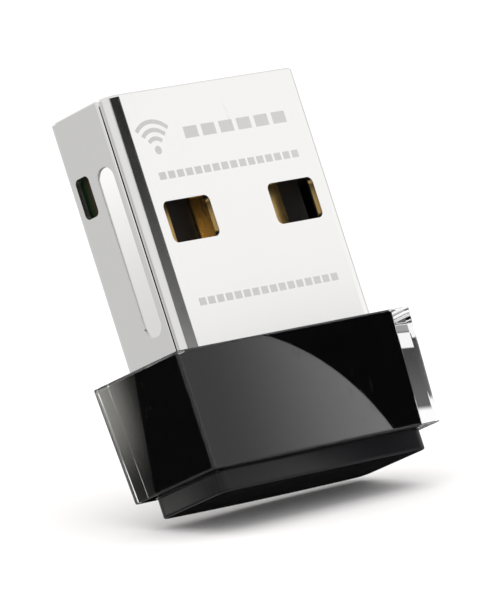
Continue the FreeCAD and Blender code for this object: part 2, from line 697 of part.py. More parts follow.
def end_cap():
    """Flat end cap with a ring that plugs into the core."""
    body = new_body("end_cap")
    sketch = new_sketch(body, "plate")
    half = f"({CAP_WIDTH} / 2)"
    left, right = -current(half), current(half)
    front, back = -current(CAP_DEPTH) / 2, current(CAP_DEPTH) / 2
    bulge = current("cap_bulge")
    vector = FreeCAD.Vector
    sketch.addGeometry(Part.LineSegment(vector(left, back, 0), vector(left, front, 0)), False)
    sketch.addGeometry(Part.LineSegment(vector(left, front, 0), vector(right, front, 0)), False)
    sketch.addGeometry(Part.LineSegment(vector(right, front, 0), vector(right, back, 0)), False)
    sketch.addGeometry(Part.Arc(vector(right, back, 0), vector(0, back + bulge, 0),
                                vector(left, back, 0)), False)
    for corner in ((0, 2, 1, 1), (1, 2, 2, 1), (2, 2, 3, 1), (3, 2, 0, 1)):
        sketch.addConstraint(Sketcher.Constraint("Coincident", *corner))
    place_point(sketch, 0, 1, f"-{half}", f"{CAP_DEPTH} / 2")
    place_point(sketch, 1, 1, f"-{half}", f"-{CAP_DEPTH} / 2")
    place_point(sketch, 2, 1, half, f"-{CAP_DEPTH} / 2")
    sketch.addConstraint(Sketcher.Constraint("Horizontal", 2, 2, 0, 1))
    sketch.addConstraint(Sketcher.Constraint("Vertical", 2))
    index = sketch.addConstraint(Sketcher.Constraint("Radius", 3, sketch.Geometry[3].Radius))
    sketch.renameConstraint(index, "bulge_radius")
    bind(sketch, "Constraints.bulge_radius", f"({half} * {half} + cap_bulge * cap_bulge) / (2 * cap_bulge)")
    plate = pad(body, sketch, "cap_height")
    plate = finish_edges(body, "Fillet", plate, edges_where(plate, upright), "cap_corner")
    bottom = edges_where(plate, lambda a, b: near(a.z, 0) and near(b.z, 0))
    plate = finish_edges(body, "Chamfer", plate, bottom[:1], "cap_edge")
    ring = rounded_rectangle(body, "ring", f"{HOLE_WIDTH} - 2 * spigot_gap",
                             f"{HOLE_DEPTH} - 2 * spigot_gap", "plug_corner", "cap_height")
    pad(body, ring, "spigot_height")
    inset = "2 * (spigot_gap + spigot_wall)"
    hollow = rounded_rectangle(body, "hollow", f"{HOLE_WIDTH} - {inset}", f"{HOLE_DEPTH} - {inset}",
                               "plug_corner / 2", "cap_height + spigot_height")
    cut(body, hollow, "spigot_height")
    return body


def check_and_write(parts):
    """Stop on any broken object, then write one STEP file for each sub-part."""
    doc.recompute()
    for item in doc.Objects:
        if "Invalid" in item.State or "Error" in item.State:
            raise RuntimeError(f"{item.Label} is {item.State}")
    os.makedirs("parts", exist_ok=True)
    for item in parts:
        if item.Shape.isNull() or not item.Shape.isValid() or not item.Shape.Solids:
            raise RuntimeError(f"{item.Label} has no valid solid")
        item.Shape.exportStep(f"parts/{item.Label}.step")
        print(f"{item.Label}: {item.Shape.Volume:.3f} mm3")


def main():
    make_sheet()
    parts = [plug_shell(), contact_carrier()]
    parts += [contact(label) for label in CONTACT_PLACES]
    parts += [contact_solder_joints(), shell_solder_joints(), circuit_board(), insulation_tape(),
              wifi_chip(), chip_terminals(), crystal_base(), crystal_lid(), voltage_regulator(),
              regulator_legs(), power_inductor(), decoupling_capacitors(), crystal_capacitors(),
              series_resistors(), esd_protector(), antenna_trace(), status_led(), cover_core(),
              clear_jacket(), end_cap()]
    check_and_write(parts)


main()
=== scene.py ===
"""The looks of a small USB Wi-Fi adapter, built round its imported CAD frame.

A folded steel plug with two latch windows stands in a black cover with a clear
jacket. The stage at the end sets the floor, the studio light and the camera.
"""

import math

import bmesh
import bpy
import numpy as np
from mathutils import Matrix, Vector


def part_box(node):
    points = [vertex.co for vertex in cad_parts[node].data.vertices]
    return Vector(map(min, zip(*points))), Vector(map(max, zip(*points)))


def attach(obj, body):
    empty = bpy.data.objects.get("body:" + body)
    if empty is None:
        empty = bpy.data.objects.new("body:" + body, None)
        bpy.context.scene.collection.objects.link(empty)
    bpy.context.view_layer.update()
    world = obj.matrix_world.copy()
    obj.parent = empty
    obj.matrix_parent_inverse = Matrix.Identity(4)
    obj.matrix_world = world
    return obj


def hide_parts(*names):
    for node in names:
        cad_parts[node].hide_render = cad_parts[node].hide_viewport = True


bl_info = {
    "name": "Wi-Fi adapter looks",
    "version": (1, 0, 0),
    "blender": (4, 5, 0),
    "location": "View3D > Sidebar > Adapter",
    "description": "Steel plug, clear-jacketed black cover and board of a USB Wi-Fi adapter, on a stage",
    "category": "Object",
}

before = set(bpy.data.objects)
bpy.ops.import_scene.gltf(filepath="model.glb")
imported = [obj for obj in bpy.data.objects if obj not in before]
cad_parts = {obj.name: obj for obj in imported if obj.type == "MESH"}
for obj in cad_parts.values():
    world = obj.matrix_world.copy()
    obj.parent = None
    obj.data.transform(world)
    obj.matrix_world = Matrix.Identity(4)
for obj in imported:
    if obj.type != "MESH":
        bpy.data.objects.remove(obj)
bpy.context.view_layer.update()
BODY = "root"
MM = 0.001

SHELL_LOW, SHELL_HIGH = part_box("plug_shell")
CORE_LOW, CORE_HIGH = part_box("cover_core")
JACKET_LOW, JACKET_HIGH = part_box("clear_jacket")
CAP_LOW, CAP_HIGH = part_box("end_cap")
BOARD_LOW, BOARD_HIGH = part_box("circuit_board")
CHIP_LOW, CHIP_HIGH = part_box("wifi_chip")

# Etched marks on the plug's face, in millimetres across and up the face.
SIGN_PLACE = (-3.9, 15.75)
SIGN_DOT = 0.2
SIGN_ARCS = (0.55, 0.95, 1.35)
SIGN_LINE = 0.2
DASH_ROWS = (
    # middle, height, left, right, pitch
    (16.35, 0.55, -2.2, 4.4, 1.1),
    (14.55, 0.35, -4.4, 4.4, 0.55),
    (8.6, 0.35, -4.4, 4.4, 0.55),
)
MARK_SOFT = 0.02

# The pressed groove in each narrow face, in millimetres: where its flat floor lies.
GROOVE_DEPTH = 0.08
GROOVE_ACROSS = (-1.19, -0.07)
GROOVE_UP = (7.7, 15.7)
# Its floor is shaded as a relief that falls with the square of the height above TILT_FROM.
TILT_FROM, TILT_SPAN, TILT_DEPTH = 3.0, 13.0, 0.9

# Studio panels, in degrees from the adapter's left (-X) round to its front (-Y): from, to, softness.
LEFT_PANEL = (-110.0, 0.0, 6.0)
STRIP_PANEL = (2.0, 56.0, 3.0)
FRONT_PANEL_FROM, FRONT_PANEL_FULL = 56.0, 62.0
BACK_PANEL_FULL, BACK_PANEL_TO = -114.0, -106.0
DARK_SECTOR = (-170.0, -95.0, 4.0)

# Reflecting cards: how far they stand off, and their reach in millimetres across the face that
# shows them and up from the cover's rim.
CARD_DISTANCE = 200 * MM
FRONT_CARD_ACROSS, FRONT_CARD_UP = (-7.6, 7.6), (-6.5, 3.0)
SIDE_CARD_ACROSS, SIDE_CARD_UP = (-3.4, 3.4), (-6.0, 0.4)

# The arc that ends the light in the cover's wide face, in millimetres across and up from the end face.
ARC_MIDDLE, ARC_RADIUS = (-5.77, -3.94), 11.05

# The card behind the jacket, in millimetres across and up from the end face.
WALL_CARD_ACROSS, WALL_CARD_UP, WALL_CARD_BEHIND = (-12, 40), (-8, 16), 6 * MM

# The dark flag round the plug's corner: its turn in degrees and its heights in millimetres.
FLAG_RADIUS, FLAG_TURN, FLAG_HEIGHTS = 120 * MM, (55, 126), (18, 60)


# ---------------------------------------------------------------- sizes and colours

def length(name, description, default, least=0.0, most=1.0):
    """A length property in metres."""
    return bpy.props.FloatProperty(
        name=name, description=description, default=default, min=least, max=most,
        subtype="DISTANCE", unit="LENGTH", precision=5,
    )


def colour(name, description, default):
    """A colour property without alpha."""
    return bpy.props.FloatVectorProperty(
        name=name, description=description, default=default, min=0.0, max=1.0, size=3, subtype="COLOR",
    )


def amount(name, description, default, least=0.0, most=1.0):
    """A plain number property."""
    return bpy.props.FloatProperty(name=name, description=description, default=default, min=least, max=most)


def turn(name, description, default):
    """An angle property, with its default in degrees."""
    return bpy.props.FloatProperty(
        name=name, description=description, default=math.radians(default), subtype="ANGLE", unit="ROTATION",
    )


class AdapterCoverSizes(bpy.types.PropertyGroup):
    """Sizes of the black core, the clear jacket and the end cap that their boxes don't give."""

    end_inset_x: length("Taper, narrow sides", "Narrowing towards the cap, per narrow side", 0.20 * MM)
    end_inset_y: length("Taper, wide sides", "Narrowing towards the cap, per wide side", 0.15 * MM)
    core_corner: length("Core corner", "Radius of the black core's upright corners", 0.45 * MM)
    jacket_corner: length("Jacket corner", "Radius of the jacket's upright corners", 0.12 * MM)
    bore_corner: length("Bore corner", "Corner radius of the core's opening for the plug", 0.85 * MM)
    bore_gap: length("Bore gap", "Clearance between the plug and the core", 0.05 * MM)
    jacket_gap: length("Jacket gap", "Air between the jacket and the core's narrow sides", 0.02 * MM)
    bevel: length("Bevel", "Rounding of the cover's long edges", 0.08 * MM)
    sheet_edge: length("Sheet edge", "Easing of the plug's cut sheet edges", 0.035 * MM)
    mouth_band: length("Mouth band", "Height of the rounded band at the plug's mouth", 0.14 * MM)
    cap_corner: length("Cap corner", "Radius of the end cap's upright corners", 0.45 * MM)
    cap_edge: length("Cap edge", "Rounding of the end cap's edges", 0.1 * MM)
    cap_bulge: length("Cap bulge", "How far the cap's back edge curves out", 0.35 * MM)
    cap_height: length("Cap height", "End cap below the cover", 1.0 * MM)
    ring_wall: length("Ring wall", "Wall of the cap's ring inside the core", 0.55 * MM)


class AdapterFinishes(bpy.types.PropertyGroup):
    """Colours and gloss of the adapter's materials."""

    steel: colour("Steel", "Nickel-plated steel of the plug", (0.74, 0.735, 0.725))
    steel_roughness: amount("Steel roughness", "Satin sheen of the plug", 0.125)
    gold: colour("Gold", "Plating of the four contacts", (0.95, 0.64, 0.24))
    board: colour("Board", "Solder mask of the circuit board", (0.006, 0.105, 0.035))
    tape: colour("Tape", "Amber insulating tape behind the board", (0.55, 0.26, 0.05))
    plastic_black: colour("Black plastic", "Black of the core and the end cap", (0.0045, 0.0042, 0.005))
    clear_ior: amount("Clear index", "Refractive index of the clear jacket", 1.49, 1.0, 2.0)


class AdapterStage(bpy.types.PropertyGroup):
    """Camera, floor and studio light."""

    azimuth: turn("Azimuth", "Camera's turn round the adapter", -43.266)
    elevation: turn("Elevation", "Camera's height above the adapter's own horizon", -7.544)
    roll: turn("Roll", "Camera's tilt about its line of sight", -17.756)
    distance: length("Distance", "From the camera to the point it looks at", 301.04 * MM, most=10.0)
    target: bpy.props.FloatVectorProperty(
        name="Target", description="Point the camera looks at", default=(0.535 * MM, -0.375 * MM, 8.590 * MM),
        size=3, subtype="TRANSLATION", unit="LENGTH", precision=5,
    )
    lens: amount("Lens", "Focal length in millimetres, on the 36 mm sensor", 398.46, 10.0, 2000.0)
    floor_up: bpy.props.FloatVectorProperty(
        name="Floor normal", description="Upward direction of the floor the adapter leans on",
        default=(-0.0204, -0.3436, 0.9389), size=3, subtype="DIRECTION",
    )
    floor_size: length("Floor size", "Radius of the floor", 0.9, most=5.0)
    overhead_spread: turn("Overhead spread", "Apparent width of the soft overhead light", 70.0)
    overhead_power: amount("Overhead light", "Strength of the soft overhead light", 0.9, 0.0, 1000.0)


SETTINGS = {
    "adapter_cover": AdapterCoverSizes,
    "adapter_finish": AdapterFinishes,
    "adapter_stage": AdapterStage,
}


# ---------------------------------------------------------------- shader maths

class Wire:
    """A number in a node tree. Python's operators on it add Math nodes."""

    def __init__(self, tree, socket):
        self.tree, self.socket = tree, socket

    def math(self, operation, *values):
        """A Math node on this number and the given ones."""
        node = self.tree.nodes.new("ShaderNodeMath")
        node.operation = operation
        for socket, value in zip(node.inputs, values):
            plug(self.tree, socket, value)
        return Wire(self.tree, node.outputs[0])

    def __add__(self, other):
        return self.math("ADD", self, other)

    def __radd__(self, other):
        return self.math("ADD", other, self)

    def __sub__(self, other):
        return self.math("SUBTRACT", self, other)

    def __rsub__(self, other):
        return self.math("SUBTRACT", other, self)

    def __mul__(self, other):
        return self.math("MULTIPLY", self, other)

    def __rmul__(self, other):
        return self.math("MULTIPLY", other, self)

    def __truediv__(self, other):
        return self.math("DIVIDE", self, other)

    def __pow__(self, other):
        return self.math("POWER", self, other)

    def __abs__(self):
        return self.math("ABSOLUTE", self)

    def most(self, other):
        """The larger of this number and another."""
        return self.math("MAXIMUM", self, other)

    def rise(self, start, end):
        """0 below start, 1 above end, and a smooth step between them."""
        node = self.tree.nodes.new("ShaderNodeMapRange")
        node.interpolation_type = "SMOOTHSTEP"
        plug(self.tree, node.inputs["Value"], self)
        plug(self.tree, node.inputs["From Min"], start)
        plug(self.tree, node.inputs["From Max"], end)
        return Wire(self.tree, node.outputs["Result"])

    def between(self, start, end, soft):
        """1 from start to end and 0 outside, with soft edges."""
        return self.rise(start - soft, start + soft) * (1 - self.rise(end - soft, end + soft))


def plug(tree, socket, value):
    """Links a wire or a socket, or sets a plain value."""
    if isinstance(value, Wire):
        tree.links.new(value.socket, socket)
    elif isinstance(value, bpy.types.NodeSocket):
        tree.links.new(value, socket)
    else:
        socket.default_value = value


class Recipe:
    """A node tree that is put together node by node."""

    def __init__(self, tree):
        self.tree = tree
        tree.nodes.clear()

    def add(self, kind, settings=None, **values):
        """A node of the kind, with its settings first and then its sockets, whose names use _ for a space."""
        node = self.tree.nodes.new("ShaderNode" + kind)
        for name, setting in (settings or {}).items():
            setattr(node, name, setting)
        for name, value in values.items():
            plug(self.tree, node.inputs[name.replace("_", " ")], value)
        return node

    def wire(self, socket):
        """A socket as a number for Python expressions."""
        return Wire(self.tree, socket)

    def place(self, stretch=(1.0, 1.0, 1.0)):
        """Object coordinates in millimetres, divided by stretch along each axis."""
        spot = self.add("TexCoord").outputs["Object"]
        scale = tuple(1 / (MM * s) for s in stretch)
        return self.add("Mapping", Vector=spot, Scale=scale).outputs["Vector"]

    def axes(self, vector):
        """The three numbers of a vector."""
        node = self.add("SeparateXYZ", Vector=vector)
        return [self.wire(socket) for socket in node.outputs]

    def noise(self, size, detail=2.0, stretch=(1.0, 1.0, 1.0)):
        """Noise from 0 to 1 with blotches of about size millimetres."""
        spot = self.place(stretch)
        node = self.add("TexNoise", Vector=spot, Scale=1 / size, Detail=detail)
        return self.wire(node.outputs["Fac"])

    def cells(self, size, stretch=(1.0, 1.0, 1.0)):
        """Distance to the nearest of scattered points about size millimetres apart."""
        node = self.add("TexVoronoi", Vector=self.place(stretch), Scale=1 / size)
        return self.wire(node.outputs["Distance"])

    def blend(self, factor, first, second):
        """Colour that goes from first to second as the factor goes from 0 to 1."""
        node = self.add("Mix", {"data_type": "RGBA", "clamp_factor": True})
        plug(self.tree, node.inputs[0], factor)
        for socket, value in ((node.inputs[6], first), (node.inputs[7], second)):
            plug(self.tree, socket, value if isinstance(value, bpy.types.NodeSocket) else (*value, 1.0))
        return node.outputs[2]

    def bump(self, height, depth, strength=1.0):
        """Normal of a relief whose heights run from 0 to depth millimetres."""
        return self.add("Bump", Height=height, Distance=depth * MM, Strength=strength).outputs["Normal"]


class Finish(Recipe):
    """A material and its node tree."""

    def __init__(self, name):
        self.material = bpy.data.materials.new(name)
        self.material.use_nodes = True
        super().__init__(self.material.node_tree)

    def surface(self, **values):
        """Ends the material in a Principled shader and returns the material."""
        shader = self.add("BsdfPrincipled", **values)
        self.add("OutputMaterial", Surface=shader.outputs[0])
        return self.material


def tinted(rgb, factor):
    """A colour made lighter or darker."""
    return tuple(min(1.0, part * factor) for part in rgb)


# ---------------------------------------------------------------- meshes

def new_piece(name, points, faces, material, slot, *replaced):
    """A mesh object at the origin that rides on the adapter and stands for CAD nodes."""
    mesh = bpy.data.meshes.new(name)
    mesh.from_pydata(points.reshape(-1, 3).tolist(), [], faces)
    mesh.shade_smooth()
    mesh.materials.append(material)
    piece = bpy.data.objects.new(name, mesh)
    bpy.context.scene.collection.objects.link(piece)
    adopt(piece, slot, *replaced)
    return piece


def adopt(piece, slot, *replaced):
    """Makes a new piece ride on the adapter's body and hides the nodes it stands for; slot is not used."""
    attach(piece, BODY)
    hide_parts(*replaced)


def spaced(count):
    """Places from 0 to 1 along a flat run, with one close to each end so that its shading stays flat."""
    return np.concatenate([[0.004], np.linspace(0, 1, count + 2)[1:-1], [0.996]])


def rounded_profile(corners, bevel, closed, steps=4, rows=5):
    """Points along a profile whose corners are eased.

    Each row of corners is (half width, half depth, corner radius, height). A corner P
    between A and B becomes the Bezier arc P + (1 - t)^2 a + t^2 b, where a and b run one
    bevel from P towards A and B. The straight runs between arcs get even rows.
    """
    corners = np.asarray(corners, float)
    before, after = np.roll(corners, 1, axis=0), np.roll(corners, -1, axis=0)
    back = before - corners
    ahead = after - corners
    back *= bevel / np.linalg.norm(back, axis=1, keepdims=True)
    ahead *= bevel / np.linalg.norm(ahead, axis=1, keepdims=True)
    t = np.linspace(0, 1, steps + 1)[None, :, None]
    arcs = corners[:, None] + (1 - t) ** 2 * back[:, None] + t ** 2 * ahead[:, None]
    if not closed:
        arcs[0], arcs[-1] = corners[0], corners[-1]
    s = spaced(rows)[None, :, None]
    runs = (1 - s) * arcs[:, -1][:, None] + s * np.roll(arcs, -1, axis=0)[:, 0][:, None]
    points = np.concatenate([arcs, runs], axis=1)
    if closed:
        return points.reshape(-1, 4)
    return np.concatenate([points[0, steps:], points[1:-1].reshape(-1, 4), corners[-1:]])


def rounded_outline(half_x, half_y, corner, arc_steps=10, side_steps=12):
    """Rectangles with rounded corners, one row for each set of sizes.

    Along an arc the angle turns a quarter while the arc's centre stays; along a side the
    angle stays while the centre moves on to the next corner. A point is the centre plus
    the corner radius times (cos angle, sin angle).
    """
    arc = np.linspace(0, 1, arc_steps + 1)
    side = spaced(side_steps - 1)
    quarter = np.arange(4)[:, None]
    angle = np.concatenate([quarter + arc, quarter + 1 + 0 * side[None, :]], axis=1).ravel() * math.pi / 2
    moved = np.concatenate([0 * arc[None, :] + 0 * quarter, side[None, :] + 0 * quarter], axis=1)
    signs = np.array([(1, 1), (-1, 1), (-1, -1), (1, -1)], float)
    here, following = signs[:, None], np.roll(signs, -1, axis=0)[:, None]
    centre = (here + moved[..., None] * (following - here)).reshape(-1, 2)
    x = centre[:, 0] * (half_x - corner)[:, None] + corner[:, None] * np.cos(angle)
    y = centre[:, 1] * (half_y - corner)[:, None] + corner[:, None] * np.sin(angle)
    return x, y


def carried_outline(profile, closed):
    """Grid of points and its faces: the outline for each row of a profile, at that row's height.

    A closed profile gives a ring, and an open one is closed by a flat face at each end.
    """
    half_x, half_y, corner, height = profile.T
    x, y = rounded_outline(half_x, half_y, corner)
    points = np.stack([x, y, np.broadcast_to(height[:, None], x.shape)], axis=2)
    rows, columns = x.shape
    index = np.arange(rows * columns).reshape(rows, columns)
    if closed:
        index = np.concatenate([index, index[:1]])
    index = np.concatenate([index, index[:, :1]], axis=1)
    quads = np.stack([index[:-1, :-1], index[:-1, 1:], index[1:, 1:], index[1:, :-1]], axis=2).reshape(-1, 4)
    faces = quads.tolist()
    if not closed:
        faces += [index[0, -2::-1].tolist(), index[-1, :-1].tolist()]
    return points, faces


# ---------------------------------------------------------------- finishes

def etched_marks(across, up):
    """Neutral marks on the plug's face: a signal sign of arcs over a dot, and rows of plain dashes."""
    side, rise = across - SIGN_PLACE[0], up - SIGN_PLACE[1]
    away = (side ** 2 + rise ** 2) ** 0.5
    wedge = (rise - abs(side)).rise(-MARK_SOFT, MARK_SOFT)
    marks = 1 - away.rise(SIGN_DOT - MARK_SOFT, SIGN_DOT + MARK_SOFT)
    for radius in SIGN_ARCS:
        arc = away.between(radius - SIGN_LINE / 2, radius + SIGN_LINE / 2, MARK_SOFT)
        marks = marks.most(wedge * arc)
    for middle, height, left, right, pitch in DASH_ROWS:
        dash = (across / pitch).math("FRACT", across / pitch).between(0.12, 0.88, 0.03)
        band = up.between(middle - height / 2, middle + height / 2, MARK_SOFT)
        marks = marks.most(band * across.between(left, right, MARK_SOFT) * dash)
    return marks


def satin_steel(look):
    """Nickel-plated steel: fine rolling lines, faint handling scuffs and rubbed lines near the plug's tip."""
    finish = Finish("satin_steel")
    across, deep, up = finish.axes(finish.place())
    cloud = finish.noise(4.0, 3.0)
    rolling = finish.noise(0.05, 2.0, (1.0, 1.0, 40.0))
    scuff = finish.noise(0.22, 4.0, (1.0, 1.0, 9.0)).rise(0.62, 0.74)
    tip = up.rise(SHELL_LOW[2] / MM + 9.0, SHELL_HIGH[2] / MM)
    rubbed = scuff * (0.25 + 0.75 * tip)
    tone = finish.blend(cloud * 0.7 + rolling * 0.3, tinted(look.steel, 0.96), tinted(look.steel, 1.02))
    tone = finish.blend(rubbed * 0.12, tone, tinted(look.steel, 0.8))
    floor = SHELL_HIGH[0] / MM - GROOVE_DEPTH
    # The groove's flat floor gets a relief in shading and is painted lighter steel than the rest: a painted
    # highlight.
    groove = (
        abs(across).rise(floor - 0.015, floor - 0.005) * (1 - abs(across).rise(floor + 0.005, floor + 0.02))
        * deep.between(*GROOVE_ACROSS, 0.005) * up.between(*GROOVE_UP, 0.005)
    )
    face = 1 - deep.rise(SHELL_LOW[1] / MM + 0.01, SHELL_LOW[1] / MM + 0.02)
    marks = etched_marks(across, up) * face
    tone = finish.blend(marks, tone, tinted(look.steel, 0.76))
    hollow = 0 - groove * ((up - TILT_FROM) / TILT_SPAN) ** 2
    relief = finish.bump(rolling * 0.6 + scuff * 0.4, 0.0006, 0.5)
    wear = 0.03 * (cloud - 0.5) + 0.025 * rolling + 0.05 * rubbed + 0.12 * marks
    return finish.surface(
        Base_Color=finish.blend(groove, tone, tinted(look.steel, 1.2)), Metallic=1.0,
        Roughness=look.steel_roughness + wear,
        Normal=finish.add("Bump", Height=hollow, Distance=TILT_DEPTH * MM, Normal=relief).outputs["Normal"],
    )


def black_core(look):
    """Moulded black behind the jacket: a glossy coat only on its open ends."""
    finish = Finish("black_core")
    up = finish.axes(finish.place())[2]
    low, high = CORE_LOW[2] / MM, CORE_HIGH[2] / MM
    ends = 1 - up.between(low + 0.05, high - 0.05, 0.02)
    grain = finish.noise(0.12, 3.0)
    tone = finish.blend(grain, look.plastic_black, tinted(look.plastic_black, 1.35))
    return finish.surface(
        Base_Color=tone, Specular_IOR_Level=0.0, Roughness=0.35 + 0.08 * grain, Coat_Weight=ends,
        Coat_Roughness=0.08, Normal=finish.bump(grain, 0.002, 0.3),
    )


def clear_plastic(look):
    """Clear moulded jacket: polished, with faint hairline scuffs on its faces."""
    finish = Finish("clear_plastic")
    hairline = finish.noise(0.09, 3.0, (1.0, 1.0, 14.0)).rise(0.66, 0.8)
    cloud = finish.noise(3.0, 2.0)
    return finish.surface(
        Base_Color=finish.blend(cloud, (0.985, 0.99, 0.985), (1.0, 1.0, 1.0)), Transmission_Weight=1.0,
        IOR=look.clear_ior, Roughness=0.006 + 0.012 * hairline,
        Normal=finish.bump(hairline, 0.0004, 0.2),
    )


def gloss_black(look):
    """Polished black moulding of the end cap, with faint flow marks."""
    finish = Finish("gloss_black")
    flow = finish.noise(1.4, 3.0, (3.0, 1.0, 1.0))
    grain = finish.noise(0.1, 3.0)
    return finish.surface(
        Base_Color=finish.blend(flow, look.plastic_black, tinted(look.plastic_black, 1.6)),
        Specular_IOR_Level=0.2, Roughness=0.05 + 0.03 * flow + 0.02 * grain,
        Normal=finish.bump(grain * 0.4 + flow * 0.6, 0.001, 0.2),
    )


def moulded_black():
    """Dull brown-black plastic of the contact carrier."""
    finish = Finish("carrier_black")
    grain = finish.noise(0.08, 3.0)
    cloud = finish.noise(1.1, 2.0)
    return finish.surface(
        Base_Color=finish.blend(cloud, (0.010, 0.008, 0.007), (0.022, 0.017, 0.014)),
        Roughness=0.38 + 0.12 * grain, Normal=finish.bump(grain, 0.004, 0.5),
    )


def gold_plate(look):
    """Gold-plated contacts, rubbed brighter in scattered lengthwise streaks."""
    finish = Finish("gold_plate")
    drawn = finish.noise(0.05, 3.0, (1.0, 1.0, 20.0))
    cloud = finish.noise(0.9, 2.0)
    worn = finish.noise(0.3, 3.0, (1.0, 1.0, 6.0)).rise(0.52, 0.7)
    tone = finish.blend(cloud, tinted(look.gold, 0.86), look.gold)
    return finish.surface(
        Base_Color=finish.blend(worn * 0.5, tone, (1.0, 0.78, 0.42)), Metallic=1.0,
        Roughness=0.24 + 0.1 * drawn - 0.06 * worn, Normal=finish.bump(drawn, 0.002, 0.5),
    )


def green_board(look):
    """Solder mask over raised tracks, with small plated holes painted dark as the shade inside them, and a
    woven core at the edges, darkened as painted shade.
    """
    finish = Finish("green_board")
    deep = finish.axes(finish.place())[1]
    tracks = finish.wire(finish.add(
        "TexBrick", Vector=finish.place(), Scale=0.8, Mortar_Size=0.06, Brick_Width=1.9, Row_Height=0.5,
        Color1=(0, 0, 0, 1), Color2=(0, 0, 0, 1), Mortar=(1, 1, 1, 1),
    ).outputs["Color"])
    holes = 1 - finish.cells(1.15).rise(0.13, 0.16)
    rings = finish.cells(1.15).between(0.13, 0.2, 0.01)
    edge = 1 - deep.between(BOARD_LOW[1] / MM + 0.03, BOARD_HIGH[1] / MM - 0.03, 0.01)
    weave = finish.noise(0.07, 1.0)
    mask = finish.blend(tracks, look.board, tinted(look.board, 1.9))
    mask = finish.blend(rings, mask, (0.62, 0.42, 0.16))
    # The plated holes are painted as dark discs: painted shade inside the holes.
    mask = finish.blend(holes, mask, (0.02, 0.018, 0.012))
    # The cut edge shows the core's colours, brown towards the front and green towards the back, darkened as
    # painted shade of the slot the edge is seen through.
    layers = deep.rise(BOARD_LOW[1] / MM + 0.2, BOARD_HIGH[1] / MM - 0.3)
    core = finish.blend(weave * 0.4 + layers * 0.6, (0.05, 0.022, 0.010), (0.02, 0.075, 0.03))
    return finish.surface(
        Base_Color=finish.blend(edge, core, mask), Roughness=0.32 + 0.25 * (1 - edge) + 0.05 * weave,
        Metallic=rings * edge, Normal=finish.bump(tracks * 0.6 + weave * 0.2 - holes, 0.02, 0.6),
    )


def amber_tape(look):
    """Polyimide tape: glossy amber with shallow wrinkles."""
    finish = Finish("amber_film")
    wrinkle = finish.noise(0.9, 4.0, (1.0, 1.0, 2.2))
    streak = finish.noise(0.25, 2.0, (8.0, 1.0, 1.0))
    cloud = wrinkle * 0.6 + streak * 0.4
    return finish.surface(
        Base_Color=finish.blend(cloud, tinted(look.tape, 0.75), tinted(look.tape, 1.15)),
        Roughness=0.14 + 0.12 * streak, Coat_Weight=0.5, Normal=finish.bump(wrinkle, 0.05, 0.5),
    )


def chip_epoxy():
    """Dark moulded epoxy: sandy grain and the round dimple that marks the first terminal."""
    finish = Finish("dark_epoxy")
    across, _, up = finish.axes(finish.place())
    grain = finish.noise(0.05, 4.0)
    dimple_x, dimple_z, dimple_radius = CHIP_LOW[0] / MM + 0.6, CHIP_HIGH[2] / MM - 0.6, 0.22
    away = ((across - dimple_x) ** 2 + (up - dimple_z) ** 2) ** 0.5
    dimple = 1 - away.rise(dimple_radius - 0.03, dimple_radius)
    tone = finish.blend(grain, (0.016, 0.016, 0.018), (0.036, 0.036, 0.038))
    return finish.surface(
        Base_Color=finish.blend(dimple, tone, (0.01, 0.01, 0.011)),
        Roughness=0.52 + 0.2 * grain - 0.25 * dimple,
        Normal=finish.bump(grain * 0.3 - dimple, 0.03, 0.7),
    )


def plain_metal(name, dark, light, roughness, lump):
    """Small metal parts: a mottled sheen over lumps of the given size in millimetres."""
    finish = Finish(name)
    mottle = finish.noise(lump, 3.0)
    fine = finish.noise(lump / 5, 2.0)
    return finish.surface(
        Base_Color=finish.blend(mottle, dark, light), Metallic=1.0, Roughness=roughness + 0.12 * fine,
        Normal=finish.bump(mottle * 0.7 + fine * 0.3, lump * 0.05, 0.6),
    )


def fired_body(name, dark, light, roughness, grain_size):
    """Ceramic, ferrite and lamp bodies: a fine grain over a slow change of tone."""
    finish = Finish(name)
    grain = finish.noise(grain_size, 4.0)
    cloud = finish.noise(grain_size * 8, 2.0)
    return finish.surface(
        Base_Color=finish.blend(grain * 0.4 + cloud * 0.6, dark, light), Roughness=roughness + 0.15 * grain,
        Normal=finish.bump(grain, grain_size * 0.08, 0.5),
    )


def capped_body(name, node, dark, light, roughness):
    """Chip capacitors and resistors: a fired body, tinned far from the middle of the group's height."""
    finish = Finish(name)
    low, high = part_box(node)
    up = finish.axes(finish.place())[2]
    middle = (low[2] + high[2]) / 2 / MM
    half = (high[2] - low[2]) / 2 / MM
    ends = abs(up - middle).rise(half * 0.5 - 0.01, half * 0.5 + 0.01)
    grain = finish.noise(0.05, 3.0)
    body = finish.blend(grain, dark, light)
    return finish.surface(
        Base_Color=finish.blend(ends, body, (0.62, 0.62, 0.60)), Metallic=ends,
        Roughness=roughness + 0.12 * grain - 0.15 * ends, Normal=finish.bump(grain, 0.006, 0.5),
    )


def covered_copper():
    """Copper antenna under thin solder mask."""
    finish = Finish("masked_copper")
    sheen = finish.noise(0.4, 3.0)
    fine = finish.noise(0.06, 2.0)
    return finish.surface(
        Base_Color=finish.blend(sheen, (0.03, 0.16, 0.05), (0.09, 0.24, 0.07)), Metallic=0.4,
        Roughness=0.3 + 0.1 * fine, Normal=finish.bump(fine, 0.004, 0.5),
    )


def dress(node, material):
    """Gives a CAD node its finished material."""
    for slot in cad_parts[node].material_slots:
        slot.material = material


# ---------------------------------------------------------------- pieces

